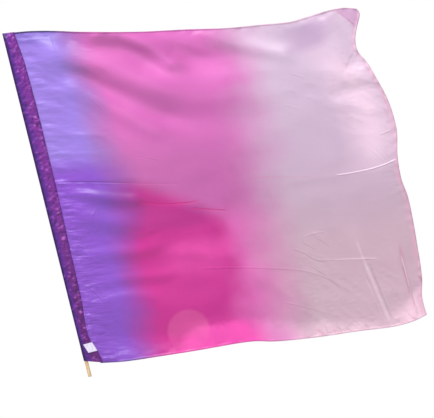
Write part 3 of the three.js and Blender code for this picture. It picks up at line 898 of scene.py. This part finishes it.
def edgeDyeAndPaintedLight(shade, swatches, cut, dyed, toPink, toPale, along, up, bleed, cloud):
    # The edges differ from the bands, with painted glare, painted shade and painted crease highlights among
    # the patches, and the rolled hems are darker: several layers of dye, and painted shade of the roll.
    # Distances in metres.
    fromFoot, fromHead, fromFly = up * cut[1], (1 - up) * cut[1], (1 - along) * cut[0]
    footReach = 0.006 + 0.048 * along.smooth(0.23, 0.35) - 0.030 * toPale + bleed * 0.09 + cloud * 0.07
    footBand = (fromFoot - footReach).smooth(0.018, -0.016) * along.smooth(0.12, 0.22)
    footDye = shade.mix(along.smooth(0.46, 0.56), swatches["footPink"], swatches["footMauve"])
    footDye = shade.mix(along.smooth(0.56, 0.66), footDye, swatches["footPale"])
    dyed = shade.mix(footBand * (0.74 + cloud * 0.8 - 0.22 * toPale), dyed, footDye)
    # Painted glare: a soft lighter disc low on the cloth that stands in for light shining through the silk
    hung = shade.node("ShaderNodeTexCoord", output="Object")
    ends = {0: hung, 1: glareShape["centre"]}
    fromGlare = shade.node("ShaderNodeVectorMath", {"operation": "DISTANCE"}, ends, output="Value")
    glareSpot = fromGlare.smooth(*glareShape["edge"]) * (0.5 + 0.5 * fromFoot.smooth(0.025, 0.050))
    tipReach = 0.030 * along.smooth(0.93, 0.985) - bleed * 0.03
    lowTip = along.smooth(0.86, 0.97) * (fromFoot - tipReach).smooth(0.055, 0.020)
    flyBand = (fromFly + bleed * 0.08).smooth(0.135, 0.050) * up.smooth(0.40, 0.58)
    flyBand = flyBand * (0.25 + 0.75 * up.smooth(0.88, 0.77)) * (0.55 + 0.45 * fromFly.smooth(0.008, 0.050))
    # Painted shade: a greyish lilac band below the head, towards the free edge
    headShade = fromHead.between(0.006, 0.022, 0.062, 0.095) * along.between(0.74, 0.84, 0.875, 0.945)
    flyRim = (fromFly + cloud * 0.012).smooth(0.014, 0.007)
    # Painted shade on the corner facet that turns back from the light
    turnedCorner = (shade.attribute("beyondTurn") + cloud * 3).smooth(-0.5, 3.5)
    for share, name in (
        (glareSpot * 0.28, "paintedGlare"),
        (lowTip * 0.75, "footPale"),
        (flyBand * 0.62, "flyPale"),
        (headShade * 0.75, "headShade"),
        (flyRim * 0.45, "flyRose"),
        (turnedCorner * 0.65, "cornerShade"),
        # Painted shade along creases
        (drawLines(shade, "dyed") * 0.8, "creaseShadeLine"),
        # Painted highlights along crease ridges
        (drawLines(shade, "pale").math("MINIMUM", 1.0) * 0.8, "creaseHighlight"),
    ):
        dyed = shade.mix(share, dyed, swatches[name])
    # Hems: several layers of dye, darkened further by painted shade of the roll
    hemDyeAndShade = shade.mix(toPale, shade.mix(toPink, swatches["violetHem"], swatches["pinkHem"]), swatches["paleHem"])
    headHem = fromHead.smooth(0.0042, 0.0028) * (1.0 - 0.45 * toPink)
    otherHem = fromFoot.math("MINIMUM", fromFly).smooth(0.0040, 0.0026)
    otherHem = otherHem * (0.5 - 0.15 * toPink + 0.4 * up.between(0.20, 0.26, 0.42, 0.50))
    return shade.mix(headHem.math("MAXIMUM", otherHem), dyed, hemDyeAndShade)


def silkRelief(shade, place, along, up):
    # Wrinkles, creases drawn in by the seam, crushed places, thin creases, and the weave
    wrinkle = shade.noise(shade.scaled(place, (16, 34, 1)), 1.0, 3.0, 0.45)
    drawn = shade.noise(shade.scaled(place, (34, 92, 1)), 1.0, 3.0, 0.5)
    drawn = drawn * along.smooth(0.14, 0.02) * (0.6 + up.smooth(0.6, 0.4))
    crushed = shade.noise(place, 19.0, 3.0, 0.5, "RIDGED_MULTIFRACTAL")
    packed = along.smooth(0.24, 0.04).math("MAXIMUM", along.smooth(0.55, 0.80) * up.smooth(0.42, 0.20))
    weave = shade.bands(place, "X", 320.0, 0.4, 1.0) + shade.bands(place, "Y", 360.0, 0.4, 1.0)
    slubs = shade.noise(shade.scaled(place, (40, 700, 1)), 1.0, 2.0)
    bump = shade.bump(wrinkle, 0.0022, 0.35)
    bump = shade.bump(drawn, 0.0045, 0.8, bump)
    bump = shade.bump(crushed * packed, 0.0014, 0.5, bump)
    bump = shade.bump(drawLines(shade, "thin"), 0.001, 1.0, bump)
    return shade.bump(weave + slubs, 0.00003, 0.5, bump)


def silkMaterial(swatches, cut):
    # Thin dyed silk, which lets some light through
    shade = Shade("dyed silk")
    cloth, along, up = shade.cloth()
    place = shade.scaled(cloth, (cut[0], cut[1], 1))
    bleed = shade.noise(place, 7.0, 3.0) - 0.5
    cloud = shade.noise(place, 16.0, 4.0) - 0.5
    # The colour holds the dye together with painted shade, painted highlights and painted glare
    dyed, toPink, toPale = bandDyeAndPaintedLight(shade, swatches, along, up, bleed, cloud)
    dyed = edgeDyeAndPaintedLight(shade, swatches, cut, dyed, toPink, toPale, along, up, bleed, cloud)
    bump = silkRelief(shade, place, along, up)
    sheen = {"Sheen Weight": 0.15, "Sheen Roughness": 0.35}
    silk = shade.principled(dyed, 0.40 + cloud * 0.10, bump, sheen)
    through = shade.node("ShaderNodeBsdfTranslucent", None, {"Color": dyed, "Normal": bump})
    return shade.finish(shade.node("ShaderNodeMixShader", None, {0: 0.22, 1: silk, 2: through}))


satinDyesAndPaintedLight = paints({
    "outer": (86, 26, 134),
    "inner": (112, 34, 134),
    "low": (96, 26, 110),
    "edge": (38, 10, 76),
    "seam": (88, 32, 114),
    "paintedGlint": (176, 92, 190),
})


def satinMaterial(swatches):
    # Plum satin, blue-violet round the rod, with painted highlights on its crinkles and painted shade round
    # the rod, in the crinkles' hollows and at the stitches
    shade = Shade("plum satin")
    cloth, _, up = shade.cloth()
    fromRod, crinkle = shade.attribute("fromRod"), shade.attribute("crinkle")
    place = shade.scaled(cloth, (0.09, 0.76, 1))
    blotch = shade.noise(place, 60.0, 3.0) - 0.5
    inward = (fromRod + blotch * 0.5).smooth(0.25, 0.60)
    plum = shade.mix(up.smooth(0.55, 0.1), swatches["inner"], swatches["low"])
    dyed = shade.mix(inward, swatches["outer"], plum)
    # Painted shade: darker along the fold round the rod
    dyed = shade.mix(fromRod.smooth(0.30, 0.04) * 0.9, dyed, swatches["edge"])
    # Painted shade at the stitched lip, where it steps down to the silk
    dyed = shade.mix(fromRod.smooth(0.82, 0.95) * 0.7, dyed, swatches["seam"])
    # Painted shade in the crinkles' hollows
    dyed = shade.mix(crinkle.smooth(-0.2, -0.9) * 0.5, dyed, swatches["edge"])
    # Painted highlights: pale glints on the crinkles' crests
    dyed = shade.mix(crinkle.smooth(0.5, 1.6) * 0.85 * (0.4 + 0.6 * inward), dyed, swatches["paintedGlint"])
    turned = shade.node("ShaderNodeMapping", None, {"Vector": place, "Rotation": (0, 0, math.radians(-28))})
    finePlace = shade.scaled(turned, (110, 330, 1))
    fine = shade.noise(finePlace, 1.0, 4.0)
    streak = shade.noise(finePlace, 0.5, 2.5, 0.5)
    # Painted highlights: pale glints along streaks
    dyed = shade.mix(streak.smooth(0.57, 0.72) * 0.60 * (0.3 + 0.7 * inward), dyed, swatches["paintedGlint"])
    # Painted shade in dark streaks between the glints
    dyed = shade.mix(streak.smooth(0.44, 0.28) * 0.7, dyed, swatches["edge"])
    fine = shade.bump(fine, 0.0016, 0.7)
    return shade.finish(shade.principled(dyed, 0.36 + blotch * 0.12, fine, {"Specular IOR Level": 0.35}))


def ribbonMaterial():
    # White woven ribbon: ribs across it and a slight grey that varies at random over it
    shade = Shade("white ribbon")
    cloth = shade.node("ShaderNodeUVMap", {"uv_map": "cloth"})
    ribs = shade.bands(cloth, "Y", 14.0, 0.5)
    greyMottle = shade.noise(cloth, 5.0, 3.0)
    colour = shade.mix(greyMottle.smooth(0.35, 0.7), paint(228, 220, 240), paint(206, 196, 222))
    ribs = shade.bump(ribs, 0.00006, 0.6)
    return shade.finish(shade.principled(colour, 0.6 + greyMottle * 0.1, ribs, {"Sheen Weight": 0.2}))


def woodMaterial(lean):
    # Birch: fine grain stretched along the rod, and a few darker flecks
    shade = Shade("birch dowel")
    place = shade.node("ShaderNodeTexCoord", output="Object")
    grainPlace = shade.node("ShaderNodeMapping", {"vector_type": "POINT"},
                            {"Vector": place, "Rotation": (0, lean, 0), "Scale": (900, 900, 18)})
    grain = shade.noise(grainPlace, 1.0, 4.0, 0.6)
    broad = shade.noise(grainPlace, 0.25, 2.0)
    colour = shade.mix(grain.smooth(0.3, 0.75), paint(226, 198, 154), paint(196, 158, 108))
    colour = shade.mix(broad.smooth(0.45, 0.8) * 0.5, colour, paint(236, 214, 176))
    return shade.finish(shade.principled(colour, 0.5 + grain * 0.15, shade.bump(grain, 0.0002, 0.4)))


def threadMaterial():
    # Plum sewing thread with a twist of finer fibres
    shade = Shade("plum thread")
    place = shade.node("ShaderNodeTexCoord", output="Object")
    twist = shade.noise(place, 2500.0, 2.0)
    colour = shade.mix(twist.smooth(0.3, 0.7), paint(66, 24, 98), paint(104, 44, 140))
    return shade.finish(shade.principled(colour, 0.5 + twist * 0.1, shade.bump(twist, 0.0001, 0.5)))


silkPiece.data.materials.append(silkMaterial(silkDyesAndPaintedLight, silkCut))
sleevePiece.data.materials.append(satinMaterial(satinDyesAndPaintedLight))
labelPiece.data.materials.append(ribbonMaterial())
rodPiece.data.materials.append(woodMaterial(rodShape["lean"]))
stitchPiece.data.materials.append(threadMaterial())
print("materials made")

# What each piece stands for

for piece, node, slot in (
    (silkPiece, "silk_panel", "silk"),
    (sleevePiece, "pole_sleeve", "satin"),
    (labelPiece, "care_label", "label"),
    (rodPiece, "rod", "wood"),
):
    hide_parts(node)
    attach(piece, "root")
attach(stitchPiece, "root")

# Floor, light and camera

stageShape = {"floor": -0.9, "halfWidth": 14.0, "centre": (0.3, 0.0, 0.34)}


def makeFloor(shape):
    span = np.linspace(-1, 1, 3) * shape["halfWidth"]
    x, y = np.meshgrid(span, span)
    points = np.stack([x, y, np.full(x.shape, shape["floor"])], axis=-1)
    floor = makeMesh("floor", points, [gridFaces(3, 3)])
    shade = Shade("pale floor")
    speck = shade.noise(shade.node("ShaderNodeTexCoord", output="Object"), 3.0, 3.0)
    colour = shade.mix(speck, paint(238, 238, 240), paint(246, 246, 247))
    inputs = {"Base Color": colour, "Roughness": 0.8}
    floor.data.materials.append(shade.finish(shade.node("ShaderNodeBsdfPrincipled", None, inputs)))


def addLight(name, place, size, power):
    light = bpy.data.lights.new(name, "AREA")
    light.shape = "RECTANGLE"
    light.size, light.size_y = size
    light.energy = power
    aim = np.array(stageShape["centre"]) - np.array(place)
    tilt = math.atan2(math.hypot(aim[0], aim[1]), -aim[2])
    addObject(name, light, place, (tilt, 0, math.atan2(aim[1], aim[0]) - math.pi / 2))


makeFloor(stageShape)
addLight("key", (-1.2, -1.9, 3.2), (1.8, 1.2), 165)
addLight("fill", (0.8, -4.6, 0.7), (2.6, 2.0), 26)
addLight("back", (0.6, 2.8, 2.0), (2.4, 1.6), 34)

sky = Shade("studio", bpy.data.worlds)
lit = sky.node("ShaderNodeBackground", None, {"Color": (0.95, 0.97, 1.0, 1), "Strength": 0.36})
seen = sky.node("ShaderNodeBackground", None, {"Color": (1, 1, 1, 1), "Strength": 1.0})
fromCamera = sky.node("ShaderNodeLightPath", output="Is Camera Ray")
both = sky.node("ShaderNodeMixShader", None, {0: fromCamera, 1: lit, 2: seen})
bpy.context.scene.world = sky.finish(both, "ShaderNodeOutputWorld")
bpy.context.scene.view_settings.view_transform = "Standard"

cameraShape = {"lens": 360.0, "sensor": 36.0, "frameWidth": 0.9765, "aimX": 0.2996, "aimZ": 0.3211}
camera = bpy.data.cameras.new("camera")
camera.lens = cameraShape["lens"]
camera.sensor_width = cameraShape["sensor"]
distance = cameraShape["frameWidth"] * cameraShape["lens"] / cameraShape["sensor"]
place = (cameraShape["aimX"], -distance, cameraShape["aimZ"])
bpy.context.scene.camera = addObject("camera", camera, place, (math.pi / 2, 0, 0))
print("stage, light and camera set")
